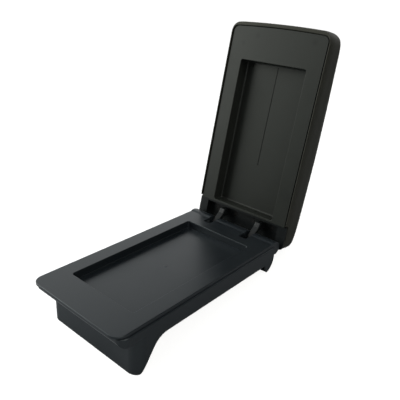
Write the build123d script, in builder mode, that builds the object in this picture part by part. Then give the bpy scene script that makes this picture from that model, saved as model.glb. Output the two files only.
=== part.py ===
from build123d import *
import math
import os

# Car centre armrest: a moulded tray base and a padded lid that stands open on two gooseneck arms.
# Millimetres. X runs across the armrest, Y to the rear and Z up. The origin is the middle of the
# underside of the tray floor, where the armrest sits on the console.

os.makedirs("parts", exist_ok=True)

# Base: deck and tray
wall = 2.6
deck_width = 150.0
deck_corner = 13.0
deck_edge_round = 0.8
tray_width = 107.0
tray_length = 206.7
tray_depth = 10.5
tray_corner = 3.2
tray_floor_round = 1.2
tray_edge_round = 0.7
front_rim = 40.9
rear_rim = 31.4

# Base: ledge, side walls and skirts
step_drop = 4.5
ledge_reach = 2.0
ledge_round = 1.5
ledge_corner = 10.5
lip_overhang = 5.25
nose_drop = 16.1
nose_round = 7.0
side_drop = 26.0
skirt_drop = 64.7
skirt_setback = 25.0
skirt_corner = 14.0
foot_length = 7.0
foot_round = 4.5
leg_run = 26.0
leg_round = 24.0
lip_round = 21.0
lip_drop = 19.0
lip_sweep = 72.0
notch_length = 6.0
lip_tip_round = 1.2
rear_reach = 1.8
rib_thick = 1.8
rib_pitch = 42.0
rib_count = 5

# Hinge
pivot_back = 8.0
pivot_drop = 9.4
barrel_radius = 9.0
barrel_meet = 70.5
ridge_foot = 2.2
ridge_rise = 1.1
ridge_round = 1.0
ridge_back_rise = 0.75
pin_radius = 2.0
pin_clearance = 0.05
eye_clearance = 0.06
pin_end_cover = 6.0
pin_recess = 1.5
pin_chamfer = 0.5
arm_spacing = 65.2
arm_width = 9.0
arm_side_clearance = 1.5
slot_front = 15.5
slot_drop = 20.0
eye_radius = 6.1
root_front = 14.0
root_length = 11.0
root_drop = 0.45
root_slope = 2.4
root_step = 6.0
arm_round = 1.2
open_angle = 101.05

# Lid: inner panel and hinge trough
lid_gap = 1.0
panel_thick = 2.6
panel_gap = 0.8
panel_bow = 2.0
panel_corner = 8.0
pocket_width = 106.0
pocket_length = 210.7
pocket_depth = 18.0
pocket_corner = 3.2
pocket_floor_round = 2.5
pocket_edge_round = 0.6
pocket_rear = 23.8
pocket_rib = 2.7
pocket_wall = 2.4
pocket_draft = 2.0
groove_length = 142.0
groove_width = 1.2
groove_depth = 0.5
dot_radius = 1.6
bracket_gap = 0.3
bracket_wall = 2.5
trough_depth = 12.0
trough_rear = 8.0
trough_corner = 9.0
ear_width = 7.0
ear_thick = 2.4
ear_recess = 1.5
ear_rear = 13.0
ear_corner = 6.0

# Lid: padding
rim_gap = 0.4
rim_width = 4.1
rim_front_width = 6.2
rim_proud = 3.5
skin_thick = 1.2
foam_side = 2.0
foam_top = 12.0
carrier_wall = 2.6
pad_crown = 50.0
pad_front_height = 38.8
pad_rear_height = 43.0
pad_front_round = 27.0
pad_rear_round = 33.0
pad_edge_round = 11.0
pad_corner = 15.0
pad_rear_corner = 13.0
end_overlap = 1.5
rim_notch = 2.3
rim_seat_gap = 0.1
pad_rear = 15.5

# Lid: fixings
screw_radius = 1.6
screw_length = 11.0
screw_head_radius = 3.5
screw_head_height = 1.4
screw_clearance = 0.3
screw_bite_clearance = 0.05
screw_row = 9.5
screw_outer_inset = 16.4
screw_inner_x = 16.0
boss_radius = 4.0
post_radius = 2.4
post_clearance = 0.1
post_wall = 2.0
post_height = 7.0
post_front_inset = 17.6
post_rear_inset = 9.6
post_end_inset = 19.0

# Places worked out from the sizes, and a length that reaches right past every piece
past_all = 2 * tray_length
deck_top = tray_depth + wall
deck_half = deck_width / 2
deck_front = -tray_length / 2 - front_rim
ridge_y = tray_length / 2 + rear_rim
rear_y = ridge_y + rear_reach
ledge_z = deck_top - step_drop
ledge_half = deck_half + ledge_reach
ledge_front = deck_front + lip_overhang
riser_front = ledge_front + ledge_reach
riser_corner = ledge_corner - ledge_reach
nose_z = deck_top - nose_drop
side_z = deck_top - side_drop
skirt_z = deck_top - skirt_drop
lip_z = deck_top - lip_drop
lip_y = rear_y - lip_round
tip_y = lip_y + lip_round * math.cos(math.radians(lip_sweep))
tip_z = lip_z - lip_round * math.sin(math.radians(lip_sweep))
skirt_front = deck_front + skirt_setback
foot_rear = skirt_front + foot_length
pivot_y = ridge_y + pivot_back
pivot_z = deck_top - pivot_drop
arm_spots = (-arm_spacing / 2, arm_spacing / 2)
slot_width = arm_width + 2 * arm_side_clearance
rib_inner = tray_width / 2 + wall / 2
rib_outer = deck_half - (wall - ledge_reach) / 2

panel_z = deck_top + lid_gap
rim_half = deck_half + rim_gap
rim_front = deck_front - rim_gap
rim_z = panel_z - rim_proud
panel_half = rim_half - panel_gap
panel_front = rim_front + panel_gap
pocket_rear_y = ridge_y - pocket_rear
panel_rear = pocket_rear_y + pocket_rib
panel_back = panel_z + panel_thick
pocket_front_y = pocket_rear_y - pocket_length
pocket_middle_y = pocket_rear_y - pocket_length / 2
pocket_floor = panel_z + pocket_depth
pad_half = rim_half + rim_width
pad_front = rim_front - rim_front_width
pad_rear_y = ridge_y + pad_rear
foam_inset = skin_thick + foam_side
core_top_inset = skin_thick + foam_top
trough_half = pad_half - foam_inset - carrier_wall - bracket_gap - ear_width
ear_half = pad_half - skin_thick
trough_front = panel_rear + bracket_gap
trough_floor = panel_z + trough_depth
trough_top = trough_floor + bracket_wall
ear_z = panel_z + ear_recess
ear_top = ear_z + ear_thick
ear_rear_y = ridge_y + ear_rear
trough_rear_y = ridge_y + trough_rear
rim_rear = panel_rear - rim_notch
rear_rim_z = ear_top + rim_seat_gap
pocket_floor_inset = pocket_depth * math.tan(math.radians(pocket_draft))
root_toe = (ridge_y - root_front, deck_top - root_drop)
root_knee = (ridge_y - root_front + root_step, deck_top - root_drop - root_slope)
root_heel = (ridge_y - root_front + root_length, deck_top - root_drop)
screw_y = ridge_y - screw_row
screw_outer_x = trough_half - screw_outer_inset
screw_spots = (-screw_outer_x, -screw_inner_x, screw_inner_x, screw_outer_x)
post_front_x = panel_half - post_front_inset
post_rear_x = panel_half - post_rear_inset
post_front_y = panel_front + post_end_inset
post_rear_y = panel_rear - post_end_inset
post_spots = (
    (-post_front_x, post_front_y),
    (post_front_x, post_front_y),
    (-post_rear_x, post_rear_y),
    (post_rear_x, post_rear_y),
)

# The lid is drawn as if shut, and its planes are turned about the pin to where it stands open
hinge_plane = Plane(origin=(0, pivot_y, pivot_z)).rotated((-open_angle, 0, 0))
lid_plane = Plane(
    origin=hinge_plane.from_local_coords(Vector(0, -pivot_y, -pivot_z)),
    x_dir=hinge_plane.x_dir,
    z_dir=hinge_plane.z_dir,
)
lid_side = Plane(origin=lid_plane.origin, x_dir=lid_plane.y_dir, z_dir=lid_plane.x_dir)
lid_axis = Axis(lid_plane.origin, lid_plane.z_dir)


def front_rounded_outline(half_width, front, rear, corner, bow=0.0):
    """Return a rectangle in plan whose front edge may bow forwards and whose front corners are round."""
    with BuildSketch(mode=Mode.PRIVATE) as outline:
        with BuildLine():
            Polyline((-half_width, front), (-half_width, rear), (half_width, rear), (half_width, front))
            if bow > 0:
                ThreePointArc((half_width, front), (0, front - bow), (-half_width, front))
            else:
                Line((half_width, front), (-half_width, front))
        make_face()
        fillet(outline.vertices().group_by(Axis.Y)[0], corner)
    return outline.sketch


def rounded_block(plane, width, length, middle_y, corner, height, taper=0.0, end_round=0.0):
    """Return a straight or tapered block that stands on the plane, with its far end rounded if asked."""
    with BuildPart(mode=Mode.PRIVATE) as block:
        with BuildSketch(plane):
            with Locations((0, middle_y)):
                RectangleRounded(width, length, corner)
        extrude(amount=height, taper=taper)
        if end_round > 0:
            fillet(block.faces().sort_by(Axis(plane.origin, plane.z_dir))[-1].edges(), end_round)
    return block.part


def walls_block(inset):
    """Return the walls' block, drawn in by the inset: a rounded nose over a skirt that is set back."""
    nose_height = ledge_z - nose_z - 2 * inset
    with BuildPart(mode=Mode.PRIVATE) as block:
        with BuildSketch(Plane.XY.offset(nose_z + inset)):
            nose_front = ledge_front + inset
            add(front_rounded_outline(ledge_half - inset, nose_front, past_all, ledge_corner - inset))
        extrude(amount=nose_height)
        with BuildSketch(Plane.YZ) as nose_side:
            with Locations((nose_front, nose_z + inset)):
                Rectangle(2 * past_all, nose_height, align=Align.MIN)
            fillet(nose_side.vertices().sort_by_distance((nose_front, nose_z))[0], nose_round - inset)
        extrude(amount=ledge_half, both=True, mode=Mode.INTERSECT)
        with BuildSketch(Plane.XY.offset(ledge_z - inset)):
            front = skirt_front + inset
            add(front_rounded_outline(ledge_half - inset, front, past_all, skirt_corner - inset))
        extrude(amount=-past_all)
    return block.part


# Outside of the walls, trimmed to the side view of the walls, feet and rear lip
with BuildPart() as skirt_form:
    add(walls_block(0))
    with BuildSketch(Plane.YZ) as skirt_side:
        with BuildLine():
            Polyline(
                (rear_y, lip_z),
                (rear_y, ledge_z),
                (deck_front, ledge_z),
                (deck_front, skirt_z),
                (foot_rear, skirt_z),
                (foot_rear + leg_run, side_z),
                (tip_y - notch_length, side_z),
                (tip_y, tip_z),
            )
            CenterArc((lip_y, lip_z), lip_round, -lip_sweep, lip_sweep)
        make_face()
        fillet(skirt_side.vertices().sort_by_distance((tip_y, tip_z))[0], lip_tip_round)
        fillet(skirt_side.vertices().sort_by_distance((foot_rear, skirt_z))[0], foot_round)
        fillet(skirt_side.vertices().sort_by_distance((foot_rear + leg_run, side_z))[0], leg_round)
    extrude(amount=ledge_half, both=True, mode=Mode.INTERSECT)
    fillet(skirt_form.faces().sort_by(Axis.Z)[-1].edges().filter_by(Axis.X, reverse=True), ledge_round)

# Inside of the walls, one wall thickness in, left open below
with BuildPart() as skirt_hollow:
    add(walls_block(wall))
    with BuildSketch(Plane.YZ):
        with BuildLine():
            hollow_arc = CenterArc((lip_y, lip_z), lip_round - wall, -90, 90)
            Polyline(
                hollow_arc @ 1,
                (rear_y - wall, ledge_z - wall),
                (deck_front, ledge_z - wall),
                (deck_front, -past_all),
                (lip_y, -past_all),
                hollow_arc @ 0,
            )
        make_face()
    extrude(amount=ledge_half, both=True, mode=Mode.INTERSECT)

tray_shell = rounded_block(
    Plane.XY, tray_width + 2 * wall, tray_length + 2 * wall, 0, tray_corner + wall, deck_top - wall / 2
)

with BuildPart() as base_shell:
    add(skirt_form.part)
    with BuildSketch(Plane.XY.offset(ledge_z)):
        add(front_rounded_outline(deck_half, riser_front, ridge_y, riser_corner))
    extrude(amount=step_drop)
    with BuildSketch(Plane.XY.offset(deck_top - wall)):
        add(front_rounded_outline(deck_half, deck_front, ridge_y, deck_corner))
    extrude(amount=wall)
    deck_edges = base_shell.faces().sort_by(Axis.Z)[-1].edges().sort_by(Axis.Y)[:-1]
    fillet(deck_edges, deck_edge_round)
    add(skirt_hollow.part, mode=Mode.SUBTRACT)
    with BuildSketch(Plane.XY.offset(ledge_z - wall)):
        add(front_rounded_outline(deck_half - wall, riser_front + wall, rear_y - wall, riser_corner - wall))
    extrude(amount=step_drop, mode=Mode.SUBTRACT)
    add(tray_shell)
    with BuildSketch(Plane.XY):
        with GridLocations(rib_inner + rib_outer, rib_pitch, 2, rib_count):
            Rectangle(rib_outer - rib_inner, rib_thick)
    extrude(amount=deck_top - wall / 2)
    with BuildSketch(Plane.XY.offset(wall)):
        RectangleRounded(tray_width, tray_length, tray_corner)
    extrude(amount=past_all, mode=Mode.SUBTRACT)
    level_faces = base_shell.faces().filter_by(Plane.XY)
    tray_floor = level_faces.filter_by_position(Axis.Z, wall, wall).sort_by(SortBy.AREA)[-1]
    tray_mouth = level_faces.sort_by(Axis.Z)[-1].inner_wires()[0]
    fillet(tray_mouth.edges(), tray_edge_round)
    fillet(tray_floor.edges(), tray_floor_round)
    with BuildSketch(Plane.YZ):
        with BuildLine():
            crest = (ridge_y + ridge_round, deck_top + ridge_rise)
            barrel_back = CenterArc((pivot_y, pivot_z), barrel_radius, -90, 90 + barrel_meet)
            ThreePointArc(crest, (pivot_y - ridge_round, deck_top + ridge_back_rise), barrel_back @ 1)
            Polyline(
                barrel_back @ 0,
                (rear_y - wall, pivot_z - barrel_radius),
                (rear_y - wall, deck_top - wall),
                (ridge_y - ridge_foot, deck_top - wall),
                (ridge_y - ridge_foot, deck_top),
                crest,
            )
        make_face()
    extrude(amount=deck_half, both=True)
    with BuildSketch(Plane.XY.offset(deck_top - slot_drop)):
        for arm_x in arm_spots:
            with Locations((arm_x, ridge_y - slot_front)):
                Rectangle(slot_width, past_all, align=(Align.CENTER, Align.MIN))
    extrude(amount=past_all, mode=Mode.SUBTRACT)
    with BuildSketch(Plane.YZ.offset(-deck_half)):
        with Locations((pivot_y, pivot_z)):
            Circle(pin_radius + pin_clearance)
    extrude(amount=deck_width - pin_end_cover, mode=Mode.SUBTRACT)
base_shell.part.label = "base_shell"
export_step(base_shell.part, "parts/base_shell.step")

with BuildPart() as hinge_pin:
    with BuildSketch(Plane.YZ.offset(-deck_half + pin_recess)):
        with Locations((pivot_y, pivot_z)):
            Circle(pin_radius)
    extrude(amount=deck_width - pin_end_cover - 2 * pin_recess)
    chamfer(hinge_pin.edges(), pin_chamfer)
hinge_pin.part.label = "hinge_pin"
export_step(hinge_pin.part, "parts/hinge_pin.step")


def pad_form(side_inset, top_inset, bottom_z, edge_round=0.0):
    """Return the padded lid's outside, drawn in by one inset round its sides and one over its top.

    The plan gives the sides and corners, the side view gives the crown and the rounded ends, and the
    edge where the two meet is rounded if asked.
    """
    front = pad_front + side_inset
    rear = pad_rear_y - side_inset
    half = pad_half - side_inset
    view_front = front - panel_bow - end_overlap
    view_rear = rear + end_overlap
    crown = panel_z + pad_crown - top_inset
    front_top = (view_front, panel_z + pad_front_height - top_inset)
    rear_top = (view_rear, panel_z + pad_rear_height - top_inset)
    with BuildPart(mode=Mode.PRIVATE) as form:
        with BuildSketch(lid_plane.offset(bottom_z)) as plan:
            add(front_rounded_outline(half, front, rear, pad_corner - side_inset, panel_bow))
            fillet(plan.vertices().group_by(Axis.Y)[-1], pad_rear_corner - side_inset)
        extrude(amount=past_all)
        with BuildSketch(lid_side) as side_view:
            with BuildLine():
                Polyline(rear_top, (view_rear, bottom_z), (view_front, bottom_z), front_top)
                ThreePointArc(front_top, ((view_front + view_rear) / 2, crown), rear_top)
            make_face()
            fillet(side_view.vertices().sort_by_distance(front_top)[0], pad_front_round - top_inset)
            fillet(side_view.vertices().sort_by_distance(rear_top)[0], pad_rear_round - top_inset)
        extrude(amount=pad_half, both=True, mode=Mode.INTERSECT)
        if edge_round > 0:
            bottom_edges = form.faces().sort_by(lid_axis)[0].edges()
            straight_edges = form.edges().filter_by(lid_axis) + form.edges().filter_by(Axis.X)
            fillet(form.edges() - bottom_edges - straight_edges, edge_round)
    return form.part


def rear_block(front_y, top_z):
    """Return the block that clears the lid's underside behind front_y and below top_z for the hinge."""
    with BuildPart(mode=Mode.PRIVATE) as block:
        with BuildSketch(lid_side):
            with Locations((front_y, top_z)):
                Rectangle(past_all, past_all, align=(Align.MIN, Align.MAX))
        extrude(amount=past_all, both=True)
    return block.part


def lid_slab(half_width, front, corner, bottom_z, top_z):
    """Return a slab with the panel's outline that fills the mouth of the padded rim."""
    with BuildPart(mode=Mode.PRIVATE) as slab:
        with BuildSketch(lid_plane.offset(bottom_z)):
            add(front_rounded_outline(half_width, front, rim_rear, corner, panel_bow))
        extrude(amount=top_z - bottom_z)
    return slab.part


# Layers of the padding, from the skin inwards
skin_outside = pad_form(0, 0, rim_z, pad_edge_round) - rear_block(rim_rear, rear_rim_z)
skin_inside = pad_form(skin_thick, skin_thick, rim_z + skin_thick, pad_edge_round - skin_thick)
skin_inside = skin_inside - rear_block(rim_rear - skin_thick, rear_rim_z + skin_thick)
core_outside = pad_form(foam_inset, core_top_inset, panel_back)
core_inside = pad_form(foam_inset + carrier_wall, core_top_inset + carrier_wall, panel_back)
mouth = lid_slab(rim_half, rim_front, panel_corner + panel_gap, rim_z, panel_back)
folded_mouth = lid_slab(
    rim_half + skin_thick, rim_front - skin_thick, panel_corner + panel_gap + skin_thick, rim_z, panel_back
)

with BuildPart() as lid_cover:
    add(skin_outside)
    add(skin_inside, mode=Mode.SUBTRACT)
    add(folded_mouth)
    add(mouth, mode=Mode.SUBTRACT)
    add(core_outside, mode=Mode.SUBTRACT)
lid_cover.part.label = "lid_cover"
export_step(lid_cover.part, "parts/lid_cover.step")

with BuildPart() as lid_foam:
    add(skin_inside)
    add(folded_mouth, mode=Mode.SUBTRACT)
    add(core_outside, mode=Mode.SUBTRACT)
lid_foam.part.label = "lid_foam"
export_step(lid_foam.part, "parts/lid_foam.step")

# Bosses for the bracket's screws and posts for the panel, cut off where they meet the carrier
with BuildPart() as carrier_studs:
    with BuildSketch(lid_plane.offset(trough_top)):
        with Locations(*[(x, screw_y) for x in screw_spots]):
            Circle(boss_radius)
    extrude(amount=pad_crown)
    with BuildSketch(lid_plane.offset(panel_back + post_clearance)):
        with Locations(*post_spots):
            Circle(post_radius)
    extrude(amount=pad_crown)
    add(core_outside, mode=Mode.INTERSECT)

with BuildPart() as lid_carrier:
    add(core_outside)
    add(core_inside, mode=Mode.SUBTRACT)
    add(rear_block(panel_rear, ear_top), mode=Mode.SUBTRACT)
    add(carrier_studs.part)
    with BuildSketch(lid_plane.offset(trough_top)):
        with Locations(*[(x, screw_y) for x in screw_spots]):
            Circle(screw_radius + screw_bite_clearance)
    extrude(amount=screw_length - bracket_wall + screw_clearance, mode=Mode.SUBTRACT)
lid_carrier.part.label = "lid_carrier"
export_step(lid_carrier.part, "parts/lid_carrier.step")

pocket_shell = rounded_block(
    lid_plane.offset(panel_z),
    pocket_width + 2 * pocket_wall,
    pocket_length + 2 * pocket_wall,
    pocket_middle_y,
    pocket_corner + pocket_wall,
    pocket_depth + pocket_wall,
)
pocket_space = rounded_block(
    lid_plane.offset(panel_z),
    pocket_width,
    pocket_length,
    pocket_middle_y,
    pocket_corner,
    pocket_depth,
    pocket_draft,
    pocket_floor_round,
)

with BuildPart() as lid_panel:
    with BuildSketch(lid_plane.offset(panel_z)):
        add(front_rounded_outline(panel_half, panel_front, panel_rear, panel_corner, panel_bow))
    extrude(amount=panel_thick)
    add(pocket_shell)
    add(pocket_space, mode=Mode.SUBTRACT)
    panel_face = lid_panel.faces().sort_by(lid_axis)[0]
    fillet(panel_face.inner_wires()[0].edges(), pocket_edge_round)
    with BuildSketch(lid_plane.offset(pocket_floor)):
        with Locations((0, pocket_front_y + pocket_floor_inset)):
            Rectangle(groove_width, groove_length, align=(Align.CENTER, Align.MIN))
        with Locations((0, pocket_front_y + pocket_floor_inset + groove_length)):
            Circle(dot_radius)
    extrude(amount=groove_depth, mode=Mode.SUBTRACT)
    with BuildSketch(lid_plane.offset(panel_back)):
        with Locations(*post_spots):
            Circle(post_radius + post_clearance + post_wall)
            Circle(post_radius + post_clearance, mode=Mode.SUBTRACT)
    extrude(amount=post_height)
lid_panel.part.label = "lid_panel"
export_step(lid_panel.part, "parts/lid_panel.step")


def gooseneck_arm(arm_x):
    """Return one arm: an eye round the pin, a sloping neck and a square root set in the trough's floor."""
    root_end = trough_floor + bracket_wall / 2
    with BuildPart(mode=Mode.PRIVATE) as arm:
        with BuildSketch(lid_side.offset(arm_x - arm_width / 2)):
            with BuildLine():
                Polyline(root_knee, root_heel)
            with Locations((pivot_y, pivot_z)):
                Circle(eye_radius)
            make_hull()
            with BuildLine():
                Polyline(
                    root_heel,
                    root_knee,
                    root_toe,
                    (root_toe[0], root_end),
                    (root_heel[0], root_end),
                    close=True,
                )
            make_face()
        extrude(amount=arm_width)
        fillet(arm.faces().filter_by(Axis.X).edges(), arm_round)
    return arm.part


with BuildPart() as hinge_bracket:
    with BuildSketch(lid_plane.offset(ear_z)) as trough_box:
        with Locations((0, trough_front)):
            Rectangle(2 * trough_half, trough_rear_y - trough_front, align=(Align.CENTER, Align.MIN))
        fillet(trough_box.vertices().group_by(Axis.Y)[-1], trough_corner)
    extrude(amount=trough_top - ear_z)
    with BuildSketch(lid_plane.offset(ear_z)) as ears:
        with Locations((0, trough_front)):
            Rectangle(2 * ear_half, ear_rear_y - trough_front, align=(Align.CENTER, Align.MIN))
        fillet(ears.vertices().group_by(Axis.Y)[-1], ear_corner)
    extrude(amount=ear_thick)
    with BuildSketch(lid_plane.offset(ear_z)):
        offset(trough_box.sketch_local, -bracket_wall)
    extrude(amount=trough_floor - ear_z, mode=Mode.SUBTRACT)
    for arm_x in arm_spots:
        add(gooseneck_arm(arm_x))
    with BuildSketch(Plane.YZ.offset(-deck_half)):
        with Locations((pivot_y, pivot_z)):
            Circle(pin_radius + eye_clearance)
    extrude(amount=deck_width, mode=Mode.SUBTRACT)
    with BuildSketch(lid_plane.offset(trough_floor)):
        with Locations(*[(x, screw_y) for x in screw_spots]):
            Circle(screw_radius + screw_clearance)
    extrude(amount=bracket_wall, mode=Mode.SUBTRACT)
    with BuildSketch(lid_plane.offset(trough_floor)):
        with Locations(*[(x, screw_y) for x in screw_spots]):
            Circle(screw_head_radius + screw_clearance)
    extrude(amount=screw_head_height, mode=Mode.SUBTRACT)
hinge_bracket.part.label = "hinge_bracket"
export_step(hinge_bracket.part, "parts/hinge_bracket.step")

with BuildPart() as bracket_screws:
    with BuildSketch(lid_plane.offset(trough_floor)):
        with Locations(*[(x, screw_y) for x in screw_spots]):
            Circle(screw_radius)
    extrude(amount=screw_length)
    with BuildSketch(lid_plane.offset(trough_floor)):
        with Locations(*[(x, screw_y) for x in screw_spots]):
            Circle(screw_head_radius)
    extrude(amount=screw_head_height)
bracket_screws.part.label = "bracket_screws"
export_step(bracket_screws.part, "parts/bracket_screws.step")
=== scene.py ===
import logging
import math
from dataclasses import dataclass
from enum import Enum
from typing import Iterable, Sequence

import bmesh
import bpy
from mathutils import Matrix, Vector


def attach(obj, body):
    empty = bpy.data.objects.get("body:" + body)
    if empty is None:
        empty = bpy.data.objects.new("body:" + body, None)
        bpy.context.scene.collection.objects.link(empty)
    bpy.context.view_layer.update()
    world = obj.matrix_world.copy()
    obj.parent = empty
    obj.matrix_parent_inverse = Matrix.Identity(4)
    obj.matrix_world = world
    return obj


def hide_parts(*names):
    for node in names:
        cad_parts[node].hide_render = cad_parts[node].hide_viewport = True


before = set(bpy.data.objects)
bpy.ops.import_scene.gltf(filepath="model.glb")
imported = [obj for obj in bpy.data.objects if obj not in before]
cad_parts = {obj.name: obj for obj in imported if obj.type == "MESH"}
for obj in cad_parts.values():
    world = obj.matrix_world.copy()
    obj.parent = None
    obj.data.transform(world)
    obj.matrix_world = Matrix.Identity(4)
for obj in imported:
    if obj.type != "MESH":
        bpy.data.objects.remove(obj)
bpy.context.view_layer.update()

Ring = list[Vector]
Pair = tuple[float, float]
Point = tuple[float, float, float]
Colour = tuple[float, float, float]
Socket = bpy.types.NodeSocket

LOG = logging.getLogger("armrest")
MM = 0.001
UNIT: Pair = (0.0, 1.0)
WHITE: Colour = (1.0, 1.0, 1.0)

TRAY_FLOOR = 2.6 * MM
TRAY_HALF_WIDTH = 53.5 * MM
TRAY_HALF_LENGTH = 103.35 * MM
PANEL_FACE = 14.1 * MM


class Body(Enum):
    """The two rigid bodies of the armrest."""

    BASE = "base"
    LID = "lid"


class Cells(Enum):
    """The distance that a cell pattern measures."""

    FROM_EDGE = "DISTANCE_TO_EDGE"
    FROM_CENTRE = "F1"


class Ray(Enum):
    """The rays by which the camera sees a surface: straight, mirrored or through glass."""

    CAMERA = "Is Camera Ray"
    GLOSSY = "Is Glossy Ray"
    TRANSMISSION = "Is Transmission Ray"


class NodeBench:
    """The node tree of a material or world, with short calls to add nodes and join them."""

    def __init__(self, owner: bpy.types.Material | bpy.types.World) -> None:
        """Start with an empty node tree.

        Args:
            owner: the material or world that the nodes belong to.
        """
        owner.use_nodes = True
        self.tree = owner.node_tree
        self.tree.nodes.clear()

    def add(self, kind: str, **values: object) -> bpy.types.Node:
        """Add a node and set its own properties.

        Args:
            kind: the node's Blender type.
            **values: properties of the node.

        Returns:
            The new node.
        """
        node = self.tree.nodes.new(kind)
        for key, value in values.items():
            setattr(node, key, value)
        return node

    def join(self, out: Socket, into: Socket) -> None:
        """Link one socket to another."""
        self.tree.links.new(out, into)

    def place(self) -> Socket:
        """Return object coordinates."""
        return self.add("ShaderNodeTexCoord").outputs["Object"]

    def mapped(self, **inputs: Sequence[float]) -> Socket:
        """Return object coordinates that are moved, turned or stretched.

        Args:
            **inputs: the mapping's Location, Rotation or Scale.

        Returns:
            The vector socket.
        """
        mapping = self.add("ShaderNodeMapping")
        for name, value in inputs.items():
            mapping.inputs[name].default_value = value
        self.join(self.place(), mapping.inputs["Vector"])
        return mapping.outputs["Vector"]

    def axes(self, vector: Socket) -> tuple[Socket, ...]:
        """Return the X, Y and Z of a vector.

        Args:
            vector: the vector to take apart.

        Returns:
            The three values.
        """
        split = self.add("ShaderNodeSeparateXYZ")
        self.join(vector, split.inputs["Vector"])
        return tuple(split.outputs)

    def noise(self, where: Socket, scale: float, detail: float, rough: float = 0.5) -> Socket:
        """Return a noise pattern.

        Args:
            where: the coordinates it lies on.
            scale: the pattern's repeats per unit of the coordinates.
            detail: octaves of finer noise.
            rough: weight of the finer octaves.

        Returns:
            The factor socket.
        """
        node = self.add("ShaderNodeTexNoise")
        node.inputs["Scale"].default_value = scale
        node.inputs["Detail"].default_value = detail
        node.inputs["Roughness"].default_value = rough
        self.join(where, node.inputs["Vector"])
        return node.outputs["Fac"]

    def cells(self, where: Socket, scale: float, measured: Cells) -> Socket:
        """Return a cell pattern's distance.

        Args:
            where: the coordinates it lies on.
            scale: cells per unit of the coordinates.
            measured: the distance that is measured.

        Returns:
            The distance socket.
        """
        node = self.add("ShaderNodeTexVoronoi", feature=measured.value)
        node.inputs["Scale"].default_value = scale
        self.join(where, node.inputs["Vector"])
        return node.outputs["Distance"]

    def between(self, value: Socket, result: Pair, span: Pair = UNIT) -> Socket:
        """Return a value stretched from one range to another.

        Args:
            value: the socket to stretch.
            result: results at the start and the end of the span.
            span: where the range of the value starts and ends.

        Returns:
            The stretched value.
        """
        node = self.add("ShaderNodeMapRange")
        node.inputs["From Min"].default_value, node.inputs["From Max"].default_value = span
        node.inputs["To Min"].default_value, node.inputs["To Max"].default_value = result
        self.join(value, node.inputs["Value"])
        return node.outputs["Result"]

    def calc(self, operation: str, first: Socket, second: Socket | float = 0.0) -> Socket:
        """Return the result of a sum on one or two values.

        Args:
            operation: the sum's Blender name.
            first: the first value.
            second: the second value, a socket or a number.

        Returns:
            The result.
        """
        node = self.add("ShaderNodeMath", operation=operation)
        self.join(first, node.inputs[0])
        if isinstance(second, float):
            node.inputs[1].default_value = second
        else:
            self.join(second, node.inputs[1])
        return node.outputs["Value"]

    def tint(self, value: Socket, dark: Colour, light: Colour) -> Socket:
        """Return a colour that runs from dark to light with a value.

        Args:
            value: the value, from 0 to 1.
            dark: the colour at 0.
            light: the colour at 1.

        Returns:
            The colour socket.
        """
        node = self.add("ShaderNodeValToRGB")
        for stop, colour in zip(node.color_ramp.elements, (dark, light)):
            stop.color = (*colour, 1.0)
        self.join(value, node.inputs["Fac"])
        return node.outputs["Color"]

    def bump(self, height: Socket, depth: float, strength: float, below: Socket | None = None) -> Socket:
        """Return a normal that is raised by a height.

        Args:
            height: the pattern of heights.
            depth: the height of the pattern in metres.
            strength: how strongly it shows.
            below: a normal that this one is laid over.

        Returns:
            The normal socket.
        """
        node = self.add("ShaderNodeBump")
        node.inputs["Strength"].default_value = strength
        node.inputs["Distance"].default_value = depth
        self.join(height, node.inputs["Height"])
        if below is not None:
            self.join(below, node.inputs["Normal"])
        return node.outputs["Normal"]

    def seen(self, *rays: Ray) -> Socket:
        """Return 1 for rays of the given kinds and 0 for all others.

        Args:
            *rays: the kinds of ray.

        Returns:
            The factor socket.
        """
        path = self.add("ShaderNodeLightPath")
        first, *others = (path.outputs[ray.value] for ray in rays)
        for other in others:
            first = self.calc("MAXIMUM", first, other)
        return first

    def plain(self, kind: str, colour: Colour) -> bpy.types.Node:
        """Add a shader of one colour.

        Args:
            kind: the shader's Blender type.
            colour: its colour.

        Returns:
            The shader node.
        """
        shader = self.add(kind)
        shader.inputs["Color"].default_value = (*colour, 1.0)
        return shader

    def choose(self, factor: Socket, off: Socket, on: Socket) -> Socket:
        """Return one shader where a factor is 0 and another where it is 1.

        Args:
            factor: what the choice depends on.
            off: the shader at 0.
            on: the shader at 1.

        Returns:
            The mixed shader.
        """
        mix = self.add("ShaderNodeMixShader")
        for source, into in zip((factor, off, on), mix.inputs):
            self.join(source, into)
        return mix.outputs["Shader"]

    def end(self, kind: str, surface: Socket) -> None:
        """Send a shader to an output of the given Blender type."""
        self.join(surface, self.add(kind).inputs["Surface"])


@dataclass(frozen=True)
class LidPose:
    """Where the lid stands: drawn as if shut, and turned open about the pin by an angle in degrees."""

    pivot: Point = (0.0, 142.75 * MM, 3.7 * MM)
    open_angle: float = 101.05

    def matrix(self) -> Matrix:
        """Return the turn from shut to where the lid stands open.

        Returns:
            The matrix of that turn.
        """
        pivot = Vector(self.pivot)
        turn = Matrix.Rotation(math.radians(-self.open_angle), 4, "X")
        return Matrix.Translation(pivot) @ turn @ Matrix.Translation(-pivot)


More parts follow.
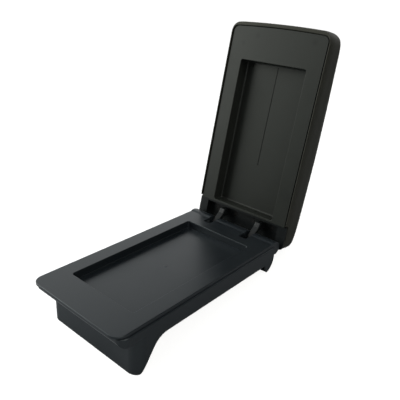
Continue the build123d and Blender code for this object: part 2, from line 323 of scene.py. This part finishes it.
@dataclass(frozen=True)
class GrooveAndSinkShade:
    """Painted shade on the lid's panel, placed as on the shut lid: a dark line in its groove and dark
    round spots at sink marks.

    The shut panel faces down, so the groove is what lies above the level.
    """

    colour: Colour
    level: float
    fade: float
    sinks: tuple[Point, ...]
    sink_radius: float
    sink_shade_strength: float

    def over(self, bench: NodeBench, colour: Socket) -> Socket:
        """Lay the painted shade over a colour.

        Args:
            bench: the node tree to build in.
            colour: the colour without the painted shade.

        Returns:
            The colour with the painted shade.
        """
        shut = LidPose().matrix().inverted()
        place = bench.mapped(Location=shut.to_translation(), Rotation=shut.to_euler())
        # Painted shade in the groove: darker where the shut panel lies above the level.
        height = bench.axes(place)[2]
        share = bench.between(height, UNIT, (self.level, self.level + self.fade))
        # Painted shade at each sink mark: a dark round spot that fades out over the radius.
        for point in self.sinks:
            away = bench.add("ShaderNodeVectorMath", operation="DISTANCE")
            away.inputs[1].default_value = point
            bench.join(place, away.inputs[0])
            reach = (0.0, self.sink_radius)
            sink_shade = bench.between(away.outputs["Value"], (self.sink_shade_strength, 0.0), reach)
            share = bench.calc("MAXIMUM", share, sink_shade)
        mix = bench.add("ShaderNodeMix", data_type="RGBA")
        mix.inputs["B"].default_value = (*self.colour, 1.0)
        bench.join(share, mix.inputs["Factor"])
        bench.join(colour, mix.inputs["A"])
        return mix.outputs["Result"]


@dataclass(frozen=True)
class DullCorner:
    """The corner round a tray's floor, where dust takes some of the gloss away."""

    half_width: float
    half_length: float
    floor: float
    band: float
    fade: float
    strength: float

    def share(self, bench: NodeBench) -> Socket:
        """Return how dull the surface is, from 0 on the open faces to the strength in the corner.

        Args:
            bench: the node tree to build in.

        Returns:
            The share of dust.
        """
        x, y, z = bench.axes(bench.place())
        across = bench.calc("SUBTRACT", bench.calc("ABSOLUTE", x), self.half_width)
        along = bench.calc("SUBTRACT", bench.calc("ABSOLUTE", y), self.half_length)
        past = bench.calc("MAXIMUM", across, along)
        near = bench.between(past, (0.0, self.strength), (-self.band - self.fade, -self.band))
        inside = bench.between(past, (1.0, 0.0), (self.fade, 2 * self.fade))
        top = self.floor + self.band
        low = bench.between(z, (1.0, 0.0), (top, top + self.fade))
        return bench.calc("MULTIPLY", bench.calc("MULTIPLY", near, inside), low)


@dataclass(frozen=True)
class MouldGrain:
    """Fine spark-eroded mould texture."""

    size: float
    depth: float
    strength: float = 0.5
    detail: float = 2.0
    rough: float = 0.6

    def normal(self, bench: NodeBench) -> Socket:
        """Return the normal that the texture gives."""
        fine = bench.noise(bench.place(), 1.0 / self.size, self.detail, self.rough)
        return bench.bump(fine, self.depth, self.strength)


@dataclass(frozen=True)
class HideGrain:
    """Pressed leather grain: small plump cells with finer creases."""

    size: float
    depth: float
    strength: float = 0.55
    cell_edge: float = 0.22
    creases_per_cell: float = 2.6
    crease_detail: float = 3.0
    crease_rough: float = 0.6
    crease_share: float = 0.5
    crease_strength: float = 0.35

    def normal(self, bench: NodeBench) -> Socket:
        """Return the normal that the grain gives.

        Args:
            bench: the node tree to build in.

        Returns:
            The normal socket.
        """
        place = bench.place()
        plump = bench.cells(place, 1.0 / self.size, Cells.FROM_EDGE)
        rounded = bench.between(plump, UNIT, (0.0, self.cell_edge))
        coarse = bench.bump(rounded, self.depth, self.strength)
        crease_scale = self.creases_per_cell / self.size
        creases = bench.noise(place, crease_scale, self.crease_detail, self.crease_rough)
        return bench.bump(creases, self.depth * self.crease_share, self.crease_strength, coarse)


@dataclass(frozen=True)
class DrawnGrain:
    """Fine lines along X, left by drawing a rod."""

    size: float
    depth: float
    strength: float = 0.5
    detail: float = 2.0
    per_metre: float = 6.0

    def normal(self, bench: NodeBench) -> Socket:
        """Return the normal that the lines give."""
        place = bench.mapped(Scale=(self.per_metre, 1.0 / self.size, 1.0 / self.size))
        return bench.bump(bench.noise(place, 1.0, self.detail), self.depth, self.strength)


@dataclass(frozen=True)
class FoamGrain:
    """Open foam cells."""

    size: float
    depth: float
    strength: float = 0.7

    def normal(self, bench: NodeBench) -> Socket:
        """Return the normal that the cells give."""
        cells = bench.cells(bench.place(), 1.0 / self.size, Cells.FROM_CENTRE)
        return bench.bump(cells, self.depth, self.strength)


Grain = MouldGrain | HideGrain | DrawnGrain | FoamGrain


@dataclass(frozen=True)
class Finish:
    """One surface finish: its colours, gloss and grain, which become a material.

    Soft patches run from the dark colour to the light one, and over the two roughnesses of the gloss.
    """

    name: str
    dark: Colour
    light: Colour
    gloss: Pair
    grain: Grain
    metallic: float = 0.0
    specular: float = 0.5
    gloss_tint: Colour = WHITE
    patch_size: float = 45.0 * MM
    patch_detail: float = 3.0
    patch_span: Pair = (0.3, 0.7)
    painted_shade: GrooveAndSinkShade | None = None
    corner: DullCorner | None = None

    def material(self) -> bpy.types.Material:
        """Build the material.

        Returns:
            The material with its nodes in place.
        """
        material = bpy.data.materials.new(self.name)
        bench = NodeBench(material)
        shader = bench.add("ShaderNodeBsdfPrincipled")
        bench.end("ShaderNodeOutputMaterial", shader.outputs["BSDF"])
        shader.inputs["Metallic"].default_value = self.metallic
        shader.inputs["Specular IOR Level"].default_value = self.specular
        shader.inputs["Specular Tint"].default_value = (*self.gloss_tint, 1.0)
        patches = bench.noise(bench.place(), 1.0 / self.patch_size, self.patch_detail)
        colour = bench.tint(bench.between(patches, UNIT, self.patch_span), self.dark, self.light)
        # Painted shade in the groove and at the sink marks, where the finish has any.
        if self.painted_shade is not None:
            colour = self.painted_shade.over(bench, colour)
        rough = bench.between(patches, self.gloss, self.patch_span)
        if self.corner is not None:
            dull = self.corner.share(bench)
            rough = bench.calc("MAXIMUM", rough, dull)
            bench.join(bench.between(dull, (self.specular, 0.0)), shader.inputs["Specular IOR Level"])
        bench.join(colour, shader.inputs["Base Color"])
        bench.join(rough, shader.inputs["Roughness"])
        bench.join(self.grain.normal(bench), shader.inputs["Normal"])
        return material


BASE_PLASTIC = Finish(
    name="base_plastic",
    dark=(0.012, 0.0158, 0.0195),
    light=(0.0148, 0.019, 0.0228),
    gloss=(0.29, 0.345),
    grain=MouldGrain(size=0.5 * MM, depth=0.012 * MM),
    gloss_tint=(0.9, 0.985, 1.0),
    corner=DullCorner(
        half_width=TRAY_HALF_WIDTH,
        half_length=TRAY_HALF_LENGTH,
        floor=TRAY_FLOOR,
        band=1.4 * MM,
        fade=0.5 * MM,
        strength=0.7,
    ),
)
BRACKET_PLASTIC = Finish(
    name="bracket_plastic",
    dark=(0.0095, 0.0115, 0.012),
    light=(0.0115, 0.0138, 0.0145),
    gloss=(0.3, 0.36),
    grain=MouldGrain(size=0.5 * MM, depth=0.015 * MM),
    specular=0.2,
)
PANEL_PLASTIC = Finish(
    name="panel_plastic",
    dark=(0.0165, 0.0185, 0.0158),
    light=(0.0195, 0.0218, 0.0188),
    gloss=(0.42, 0.5),
    grain=MouldGrain(size=0.6 * MM, depth=0.02 * MM),
    specular=0.28,
    gloss_tint=(0.97, 1.0, 0.96),
    # Painted shade: a dark line in the groove and dark spots at three sink marks.
    painted_shade=GrooveAndSinkShade(
        colour=(0.002, 0.0022, 0.002),
        level=32.2 * MM,
        fade=0.15 * MM,
        sinks=(
            (-54.5 * MM, -121.7 * MM, PANEL_FACE),
            (-32.7 * MM, -134.3 * MM, PANEL_FACE),
            (56.4 * MM, -134.4 * MM, PANEL_FACE),
        ),
        sink_radius=5.5 * MM,
        sink_shade_strength=0.55,
    ),
)
LEATHERETTE = Finish(
    name="leatherette",
    dark=(0.02, 0.0204, 0.0158),
    light=(0.0255, 0.026, 0.0205),
    gloss=(0.46, 0.56),
    grain=HideGrain(size=1.3 * MM, depth=0.1 * MM),
    specular=0.3,
    gloss_tint=(1.0, 1.0, 0.86),
)
CARRIER_PLASTIC = Finish(
    name="carrier_plastic",
    dark=(0.006, 0.006, 0.006),
    light=(0.009, 0.009, 0.009),
    gloss=(0.5, 0.6),
    grain=MouldGrain(size=0.8 * MM, depth=0.04 * MM),
)
FOAM = Finish(
    name="foam",
    dark=(0.16, 0.16, 0.14),
    light=(0.24, 0.24, 0.22),
    gloss=(0.85, 0.95),
    grain=FoamGrain(size=1.2 * MM, depth=0.4 * MM),
)
PIN_STEEL = Finish(
    name="pin_steel",
    dark=(0.42, 0.42, 0.43),
    light=(0.55, 0.55, 0.56),
    gloss=(0.28, 0.4),
    grain=DrawnGrain(size=0.25 * MM, depth=0.01 * MM),
    metallic=1.0,
)
SCREW_STEEL = Finish(
    name="screw_steel",
    dark=(0.006, 0.006, 0.006),
    light=(0.009, 0.009, 0.009),
    gloss=(0.4, 0.5),
    grain=DrawnGrain(size=0.3 * MM, depth=0.01 * MM),
    specular=0.2,
)


def dress(node: str, material: bpy.types.Material) -> None:
    """Give a CAD node its finished material.

    Args:
        node: the node's name.
        material: the material it gets.
    """
    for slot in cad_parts[node].material_slots:
        slot.material = material
    LOG.info("dressed %s", node)


def object_from(mesh: bpy.types.Mesh, name: str) -> bpy.types.Object:
    """Put a mesh into the scene as an object.

    Args:
        mesh: the mesh.
        name: the object's name.

    Returns:
        The object.
    """
    made = bpy.data.objects.new(name, mesh)
    bpy.context.scene.collection.objects.link(made)
    return made


def mesh_from(rings: Sequence[Ring], name: str) -> bpy.types.Mesh:
    """Skin a row of rings into a closed mesh with a cap at each end.

    Args:
        rings: rings of points, each as long as the others.
        name: the mesh's name.

    Returns:
        The closed mesh with its faces turned outwards.
    """
    made = bmesh.new()
    rows = [[made.verts.new(point) for point in ring] for ring in rings]
    count = len(rows[0])
    for lower, upper in zip(rows, rows[1:]):
        for i in range(count):
            j = (i + 1) % count
            made.faces.new((lower[i], lower[j], upper[j], upper[i]))
    made.faces.new(rows[0])
    made.faces.new(rows[-1])
    bmesh.ops.recalc_face_normals(made, faces=made.faces)
    mesh = bpy.data.meshes.new(name)
    made.to_mesh(mesh)
    made.free()
    return mesh


def sheet_from(
    corners: Sequence[Sequence[float]], name: str, material: bpy.types.Material
) -> bpy.types.Object:
    """Make a flat sheet of one face.

    Args:
        corners: its four corners in order.
        name: the sheet's name.
        material: the material it gets.

    Returns:
        The sheet.
    """
    mesh = bpy.data.meshes.new(name)
    mesh.from_pydata(corners, [], [(0, 1, 2, 3)])
    mesh.materials.append(material)
    return object_from(mesh, name)


def frozen(piece: bpy.types.Object) -> bpy.types.Mesh:
    """Return a copy of an object's mesh with its modifiers applied.

    Args:
        piece: the object.

    Returns:
        The copy.
    """
    bpy.context.view_layer.update()
    graph = bpy.context.evaluated_depsgraph_get()
    return bpy.data.meshes.new_from_object(piece.evaluated_get(graph))


def apply_all(piece: bpy.types.Object) -> None:
    """Apply an object's modifiers to its own mesh.

    Args:
        piece: the object.
    """
    mesh = frozen(piece)
    piece.modifiers.clear()
    piece.data = mesh


def weigh(piece: bpy.types.Object, name: str, weights: Iterable[float]) -> str:
    """Give an object a group that holds a weight for each of its points.

    Args:
        piece: the object.
        name: the group's name.
        weights: the weights, in the order of the points.

    Returns:
        The name that the group got.
    """
    group = piece.vertex_groups.new(name=name)
    for vertex, weight in zip(piece.data.vertices, weights):
        group.add([vertex.index], weight, "REPLACE")
    return group.name


def draw_back(piece: bpy.types.Object, moves: Sequence[Vector]) -> None:
    """Move each point of an object back by a step of its own."""
    for vertex, move in zip(piece.data.vertices, moves):
        vertex.co -= move


@dataclass
class TrayBase:
    """The moulded base with its tray, skirts and hinge barrel, and the pin in the barrel.

    The gate's profile gives shares of its radius and height, from the foot of its rim to its middle.
    """

    plastic: Finish = BASE_PLASTIC
    steel: Finish = PIN_STEEL
    gate_radius: float = 2.2 * MM
    gate_height: float = 0.25 * MM
    gate_sides: int = 40
    gate_profile: tuple[Pair, ...] = (
        (1.0, -0.4), (1.0, 0.2), (0.86, 0.75), (0.62, 1.0), (0.45, 0.7), (0.2, 0.55),
    )

    def build(self) -> None:
        """Dress the base's nodes and add the mark that moulding leaves on the tray floor."""
        plastic = self.plastic.material()
        dress("base_shell", plastic)
        dress("hinge_pin", self.steel.material())
        self.gate_mark(plastic)

    def gate_mark(self, plastic: bpy.types.Material) -> None:
        """Build the low round mark in the middle of the tray floor.

        Args:
            plastic: the material of the base.
        """
        rings: list[Ring] = []
        for share, height in self.gate_profile:
            radius = self.gate_radius * share
            level = TRAY_FLOOR + self.gate_height * height
            ring = []
            for step in range(self.gate_sides):
                angle = 2 * math.pi * step / self.gate_sides
                ring.append(Vector((radius * math.cos(angle), radius * math.sin(angle), level)))
            rings.append(ring)
        mark = object_from(mesh_from(rings, "gate_mark"), "gate_mark")
        mark.data.materials.append(plastic)
        mark.data.shade_smooth()
        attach(mark, Body.BASE.value)
        LOG.info("built gate_mark")


@dataclass
class LidShell:
    """The stiff parts of the lid: inner panel, hinge bracket, carrier and screws, with the foam."""

    panel: Finish = PANEL_PLASTIC
    bracket: Finish = BRACKET_PLASTIC
    carrier: Finish = CARRIER_PLASTIC
    screw: Finish = SCREW_STEEL
    foam: Finish = FOAM

    def build(self) -> None:
        """Dress the nodes of the lid's stiff parts and its foam."""
        finishes = {
            "lid_panel": self.panel,
            "hinge_bracket": self.bracket,
            "lid_carrier": self.carrier,
            "bracket_screws": self.screw,
            "lid_foam": self.foam,
        }
        for node, finish in finishes.items():
            dress(node, finish.material())


@dataclass(frozen=True)
class PanelMouth:
    """The mouth in the lid's skin that the panel sits in, with round front corners and a bowed front."""

    half: float = 76.7 * MM
    front: float = -144.65 * MM
    rear: float = 143.2 * MM
    bow: float = 2.0 * MM
    corner: float = 8.8 * MM
    least_corner: float = 0.5 * MM
    corner_steps: int = 8
    bow_steps: int = 12

    def outline(self, inset: float, rear: float, level: float) -> Ring:
        """Return the mouth's outline, drawn in by an inset.

        Args:
            inset: distance that the outline is drawn in, or out if negative.
            rear: where the outline ends at the hinge.
            level: height of the outline.

        Returns:
            The points of the outline, from the left rear corner round the front to the right.
        """
        corner = max(self.corner - inset, self.least_corner)
        half = self.half - inset
        flat = half - corner
        front = self.front + inset
        points = [(-half, rear)]
        points += self.quarter((-half + corner, front + corner), corner, math.pi)
        for step in range(1, self.bow_steps):
            x = flat * (2 * step / self.bow_steps - 1)
            points.append((x, front - self.bow * (1 - (x / flat) ** 2)))
        points += self.quarter((flat, front + corner), corner, 1.5 * math.pi)
        points.append((half, rear))
        return [Vector((x, y, level)) for x, y in points]

    def quarter(self, centre: Pair, radius: float, start: float) -> list[Pair]:
        """Return points on a quarter of a circle.

        Args:
            centre: the circle's centre.
            radius: its radius.
            start: the angle that the quarter starts at.

        Returns:
            The points, with both ends.
        """
        points = []
        for step in range(self.corner_steps + 1):
            angle = start + 0.5 * math.pi * step / self.corner_steps
            points.append((centre[0] + radius * math.cos(angle), centre[1] + radius * math.sin(angle)))
        return points


@dataclass(frozen=True)
class Swelling:
    """A short cloth simulation that blows a skin up, with a cap on how far a point may go."""

    pressure: float = 4.0
    frames: int = 20
    cap: float = 4.0 * MM
    quality: int = 6
    mass: float = 0.3
    stretch_stiffness: float = 25.0
    shear_stiffness: float = 12.0
    bending_stiffness: float = 3.0

    def run(self, skin: bpy.types.Object, pins: Iterable[float]) -> None:
        """Blow a skin up and keep the result, within the cap.

        Args:
            skin: the skin.
            pins: how firmly each point is held, from 0 to 1.
        """
        start = [vertex.co.copy() for vertex in skin.data.vertices]
        cloth = skin.modifiers.new("swell", "CLOTH")
        settings = cloth.settings
        settings.quality = self.quality
        settings.mass = self.mass
        settings.tension_stiffness = self.stretch_stiffness
        settings.compression_stiffness = self.stretch_stiffness
        settings.shear_stiffness = self.shear_stiffness
        settings.bending_stiffness = self.bending_stiffness
        settings.use_pressure = True
        settings.uniform_pressure_force = self.pressure
        settings.vertex_group_mass = weigh(skin, "pinned", pins)
        settings.effector_weights.gravity = 0.0
        cloth.collision_settings.use_collision = False
        cloth.point_cache.frame_start = 1
        cloth.point_cache.frame_end = self.frames
        scene = bpy.context.scene
        for number in range(1, self.frames + 1):
            scene.frame_set(number)
        swelled = frozen(skin)
        skin.modifiers.clear()
        skin.vertex_groups.clear()
        farthest = 0.0
        for vertex, new, old in zip(skin.data.vertices, swelled.vertices, start):
            move = new.co - old
            farthest = max(farthest, move.length)
            if move.length > self.cap:
                move = move * (self.cap / move.length)
            vertex.co = old + move
        scene.frame_set(1)
        LOG.info("the pad swelled by up to %.1f mm before its cap", farthest / MM)


@dataclass
class PaddedSkin:
    """The padded lid's leatherette skin, swelled by a cloth simulation and turned in round the panel.

    Places and heights are those of the shut lid, where the rim is the skin's lower edge.
    """

    pose: LidPose = LidPose()
    finish: Finish = LEATHERETTE
    mouth: PanelMouth = PanelMouth()
    swelling: Swelling = Swelling()
    rim_z: float = 12.4 * MM
    rim_rear: float = 111.35 * MM
    rear_rim_z: float = 18.1 * MM
    rim_slack: float = 0.5 * MM
    rim_facing: float = -0.99
    apron: float = 8.0 * MM
    cut_reach: float = 300.0 * MM
    cut_top: float = 36.0 * MM
    cut_drop: float = 24.0 * MM
    lip_round: float = 1.0 * MM
    lip_steps: int = 5
    taper: float = 1.6 * MM
    taper_top: float = 26.0 * MM
    taper_limit: float = 1.4
    fill_top: float = 34.0 * MM
    fill_inset: float = 1.8 * MM
    voxel: float = 3.2 * MM
    smooth_share: float = 0.5
    even_steps: int = 6
    ease_steps: int = 60
    shrink: float = 1.4 * MM
    pin_level: float = 40.0 * MM
    free_level: float = 54.0 * MM
    sharp_angle: float = 50.0
    fill: float = 0.9

    def build(self) -> None:
        """Build the skin and make it ride on the lid."""
        skin = self.block()
        self.shrink_crown(skin)
        self.swelling.run(skin, [1.0 - share for share in self.freedoms(skin)])
        self.relax(skin)
        self.refine(skin)
        self.draw_in(skin)
        self.cut_rim(skin)
        self.cut_mouth(skin)
        skin.data.materials.clear()
        skin.data.materials.append(self.finish.material())
        skin.data.shade_smooth()
        skin.data.set_sharp_from_angle(angle=math.radians(self.sharp_angle))
        skin.data.transform(self.pose.matrix())
        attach(skin, Body.LID.value)
        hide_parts("lid_cover", "lid_foam")
        LOG.info("built pad_skin with %d faces", len(skin.data.polygons))

    def block(self) -> bpy.types.Object:
        """Fill the CAD skin into a solid block, as if the lid were shut, and remesh it evenly.

        The block hangs down past the rim by an apron, which is cut off later to leave a crisp edge.

        Returns:
            The block.
        """
        joined = bmesh.new()
        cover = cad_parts["lid_cover"].data.copy()
        cover.transform(self.pose.matrix().inverted())
        joined.from_mesh(cover)
        joined.normal_update()
        self.hang_apron(joined)
        first_rear = self.rim_rear - self.fill_inset
        for level, rear in ((self.rim_z, first_rear), (self.rear_rim_z, self.mouth.rear)):
            ends = (level - self.apron, self.fill_top)
            rings = [self.mouth.outline(-self.fill_inset, rear, end) for end in ends]
            joined.from_mesh(mesh_from(rings, "filler"))
        mesh = bpy.data.meshes.new("pad_skin")
        joined.to_mesh(mesh)
        joined.free()
        block = object_from(mesh, "pad_skin")
        remesh = block.modifiers.new("even", "REMESH")
        remesh.mode = "VOXEL"
        remesh.voxel_size = self.voxel
        smooth = block.modifiers.new("smooth", "SMOOTH")
        smooth.factor = self.smooth_share
        smooth.iterations = self.even_steps
        apply_all(block)
        LOG.info("remeshed the pad into %d faces", len(block.data.polygons))
        return block

    def hang_apron(self, cover: bmesh.types.BMesh) -> None:
        """Lengthen the CAD skin's rim downwards by the apron.

        Args:
            cover: the CAD skin, as on the shut lid.
        """
        below = self.rear_rim_z + self.rim_slack
        rim = []
        for face in cover.faces:
            if face.normal.z < self.rim_facing and face.calc_center_median().z < below:
                rim.append(face)
        hung = bmesh.ops.extrude_face_region(cover, geom=rim)
        corners = [item for item in hung["geom"] if isinstance(item, bmesh.types.BMVert)]
        bmesh.ops.translate(cover, vec=(0.0, 0.0, -self.apron), verts=corners)

    def freedoms(self, skin: bpy.types.Object) -> list[float]:
        """Return how free each point of the skin is, from 0 at the rim to 1 on the crown.

        Args:
            skin: the skin.

        Returns:
            The shares of freedom, with a soft start and end.
        """
        shares = []
        for vertex in skin.data.vertices:
            share = (vertex.co.z - self.pin_level) / (self.free_level - self.pin_level)
            share = min(max(share, 0.0), 1.0)
            shares.append(share * share * (3 - 2 * share))
        return shares

    def shrink_crown(self, skin: bpy.types.Object) -> None:
        """Draw the crown in, so that it has room to swell."""
        points = zip(skin.data.vertices, self.freedoms(skin))
        draw_back(skin, [vertex.normal * self.shrink * share for vertex, share in points])

    def relax(self, skin: bpy.types.Object) -> None:
        """Ease the creases out of the crown.

        Args:
            skin: the skin.
        """
        ease = skin.modifiers.new("ease", "SMOOTH")
        ease.factor = self.smooth_share
        ease.iterations = self.ease_steps
        ease.vertex_group = weigh(skin, "loose", self.freedoms(skin))
        apply_all(skin)
        skin.vertex_groups.clear()

    def refine(self, skin: bpy.types.Object) -> None:
        """Subdivide the skin once.

        Args:
            skin: the skin.
        """
        fine = skin.modifiers.new("fine", "SUBSURF")
        fine.levels = 1
        fine.render_levels = 1
        apply_all(skin)

    def draw_in(self, skin: bpy.types.Object) -> None:
        """Draw the sides in towards the rim, where the skin is pulled tight round the edge.

        Args:
            skin: the skin.
        """
        moves = []
        for vertex in skin.data.vertices:
            share = (self.taper_top - vertex.co.z) / (self.taper_top - self.rim_z)
            share = min(max(share, 0.0), self.taper_limit)
            moves.append(Vector((vertex.normal.x, vertex.normal.y, 0.0)) * self.taper * share * share)
        draw_back(skin, moves)

    def cut_rim(self, skin: bpy.types.Object) -> None:
        """Cut the apron off along the rim, which steps up at the hinge.

        Args:
            skin: the skin.
        """
        low = self.rim_z - self.cut_drop
        profile = (
            (-self.cut_reach, low),
            (self.cut_reach, low),
            (self.cut_reach, self.rear_rim_z),
            (self.rim_rear, self.rear_rim_z),
            (self.rim_rear, self.rim_z),
            (-self.cut_reach, self.rim_z),
        )
        ends = (-self.cut_reach, self.cut_reach)
        self.cut(skin, [[Vector((x, y, z)) for y, z in profile] for x in ends])

    def cut_mouth(self, skin: bpy.types.Object) -> None:
        """Cut the mouth that the panel sits in, with a rounded lip all round.

        Args:
            skin: the skin.
        """
        flare = 2 * self.lip_round
        profile = [(flare, -self.apron), (flare, -self.lip_round)]
        for step in range(self.lip_steps + 1):
            angle = 0.5 * math.pi * step / self.lip_steps
            out = self.lip_round * (1 - math.sin(angle))
            up = self.lip_round * (1 - math.cos(angle))
            profile.append((out, up))
        rings = [self.mouth.outline(-out, self.mouth.rear, self.rim_z + up) for out, up in profile]
        rings.append(self.mouth.outline(0.0, self.mouth.rear, self.cut_top))
        self.cut(skin, rings)

    def cut(self, skin: bpy.types.Object, rings: Sequence[Ring]) -> None:
        """Cut a form away from the skin.

        Args:
            skin: the skin that is cut.
            rings: the rings that the form is skinned over.
        """
        cutter = object_from(mesh_from(rings, "cutter"), "cutter")
        cut = skin.modifiers.new("cut", "BOOLEAN")
        cut.operation = "DIFFERENCE"
        cut.solver = "EXACT"
        cut.object = cutter
        apply_all(skin)
        bpy.data.objects.remove(cutter)


@dataclass(frozen=True)
class Card:
    """A flat card that lies square to the axes, from its lowest corner to its highest."""

    name: str
    low: Point
    high: Point

    def corners(self) -> list[Vector]:
        """Return the four corners in order.

        Returns:
            The corners.
        """
        ends = (self.low, self.high)
        across, along = (axis for axis in range(3) if self.low[axis] != self.high[axis])
        corners = []
        for first, second in ((0, 0), (1, 0), (1, 1), (0, 1)):
            corner = Vector(self.low)
            corner[across] = ends[first][across]
            corner[along] = ends[second][along]
            corners.append(corner)
        return corners


@dataclass(frozen=True)
class Lamp:
    """A square soft lamp: where it hangs, the length of its side, its power in watts and its colour."""

    name: str
    place: Point
    size: float
    power: float
    tint: Colour

    def hang(self, target: Point) -> None:
        """Hang the lamp so that it points at a target.

        Args:
            target: what it points at.
        """
        light = bpy.data.lights.new(self.name, "AREA")
        light.shape = "SQUARE"
        light.size = self.size
        light.energy = self.power
        light.color = self.tint
        made = bpy.data.objects.new(self.name, light)
        made.location = self.place
        made.rotation_mode = "QUATERNION"
        made.rotation_quaternion = (Vector(target) - Vector(self.place)).to_track_quat("-Z", "Y")
        bpy.context.scene.collection.objects.link(made)
        LOG.info("hung lamp %s", self.name)


@dataclass
class Studio:
    """Floor, dark cards, white surround, soft lamps and the camera.

    Places are in metres, and the lens and sensor in millimetres. Each foot gives the Y and Z of a line
    that the base stands on.
    """

    eye: Point = (0.37377, -0.39101, 0.33719)
    right: Point = (0.7541, 0.6544, 0.0547)
    up: Point = (-0.3037, 0.2737, 0.9126)
    lens: float = 44.26
    sensor: float = 36.0
    clip: Pair = (0.01, 50.0)
    front_foot: Pair = (-117.0 * MM, -51.6 * MM)
    rear_foot: Pair = (121.5 * MM, -25.9 * MM)
    floor_half: float = 4.0
    floor_grey: Colour = (0.56, 0.58, 0.61)
    floor_clear: Colour = (0.87, 0.865, 0.855)
    card_grey: Colour = (0.06, 0.06, 0.06)
    cards: tuple[Card, ...] = (
        Card("front_card", low=(-2.2, -1.5, -0.4), high=(0.9, -1.5, 1.0)),
        Card("top_card", low=(-1.15, 0.35, 1.5), high=(1.3, 1.6, 1.5)),
        Card("right_card", low=(1.7, -0.2, -0.4), high=(1.7, 3.2, 1.8)),
    )
    surround: float = 0.36
    white: float = 1.0
    aim: Point = (0.0, 0.05, 0.1)
    lamps: tuple[Lamp, ...] = (
        Lamp("key", place=(-1.1, -0.55, 0.5), size=1.1, power=14.0, tint=(0.98, 1.0, 0.96)),
        Lamp("fill", place=(1.3, 0.0, 1.2), size=0.8, power=5.2, tint=(1.0, 0.98, 0.9)),
    )

    def build(self) -> None:
        """Build the stage, the lamps and the camera."""
        bpy.context.scene.view_settings.view_transform = "Standard"
        self.lay_floor()
        self.hang_cards()
        self.light_world()
        for lamp in self.lamps:
            lamp.hang(self.aim)
        self.place_camera()

    def lay_floor(self) -> None:
        """Lay a floor that touches the front skirt and the rear lip, and keeps a faint shadow."""
        material = bpy.data.materials.new("floor_white")
        bench = NodeBench(material)
        lit = bench.plain("ShaderNodeBsdfDiffuse", self.floor_grey).outputs["BSDF"]
        clear = bench.plain("ShaderNodeBsdfTransparent", self.floor_clear).outputs["BSDF"]
        sheer = bench.add("ShaderNodeAddShader")
        bench.join(lit, sheer.inputs[0])
        bench.join(clear, sheer.inputs[1])
        surface = bench.choose(bench.seen(Ray.CAMERA), lit, sheer.outputs["Shader"])
        bench.end("ShaderNodeOutputMaterial", surface)
        run = self.rear_foot[0] - self.front_foot[0]
        rise = self.rear_foot[1] - self.front_foot[1]
        corners = []
        for x, y in ((-1, -1), (1, -1), (1, 1), (-1, 1)):
            away = y * self.floor_half
            level = self.front_foot[1] + (away - self.front_foot[0]) * rise / run
            corners.append((x * self.floor_half, away, level))
        floor = sheet_from(corners, "floor", material)
        LOG.info("laid the floor")

    def hang_cards(self) -> None:
        """Hang the dark cards that keep the front, the right and the far ceiling out of the reflections.

        The camera looks through them.
        """
        material = bpy.data.materials.new("card_grey")
        bench = NodeBench(material)
        grey = bench.plain("ShaderNodeBsdfDiffuse", self.card_grey).outputs["BSDF"]
        clear = bench.plain("ShaderNodeBsdfTransparent", WHITE).outputs["BSDF"]
        bench.end("ShaderNodeOutputMaterial", bench.choose(bench.seen(Ray.CAMERA), grey, clear))
        for card in self.cards:
            sheet_from(card.corners(), card.name, material)
        LOG.info("hung the cards")

    def light_world(self) -> None:
        """Set a white surround that lights the armrest softly and is white to the camera."""
        world = bpy.data.worlds.new("surround")
        bpy.context.scene.world = world
        bench = NodeBench(world)
        shades = []
        for strength in (self.surround, self.white):
            shade = bench.plain("ShaderNodeBackground", WHITE)
            shade.inputs["Strength"].default_value = strength
            shades.append(shade.outputs["Background"])
        bench.end("ShaderNodeOutputWorld", bench.choose(bench.seen(*Ray), *shades))
        LOG.info("lit the surround")

    def place_camera(self) -> None:
        """Put the camera where the photograph was taken from."""
        data = bpy.data.cameras.new("camera")
        data.sensor_width = self.sensor
        data.lens = self.lens
        data.clip_start, data.clip_end = self.clip
        camera = bpy.data.objects.new("camera", data)
        right = Vector(self.right).normalized()
        back = right.cross(Vector(self.up)).normalized()
        turn = Matrix((right, back.cross(right), back)).transposed().to_4x4()
        camera.matrix_world = Matrix.Translation(Vector(self.eye)) @ turn
        bpy.context.scene.collection.objects.link(camera)
        bpy.context.scene.camera = camera
        LOG.info("placed the camera")


def main() -> None:
    """Build the armrest's pieces in order, then the studio."""
    logging.basicConfig(level=logging.INFO, format="%(name)s: %(message)s")
    TrayBase().build()
    LidShell().build()
    PaddedSkin().build()
    Studio().build()


if __name__ == "__main__":
    main()
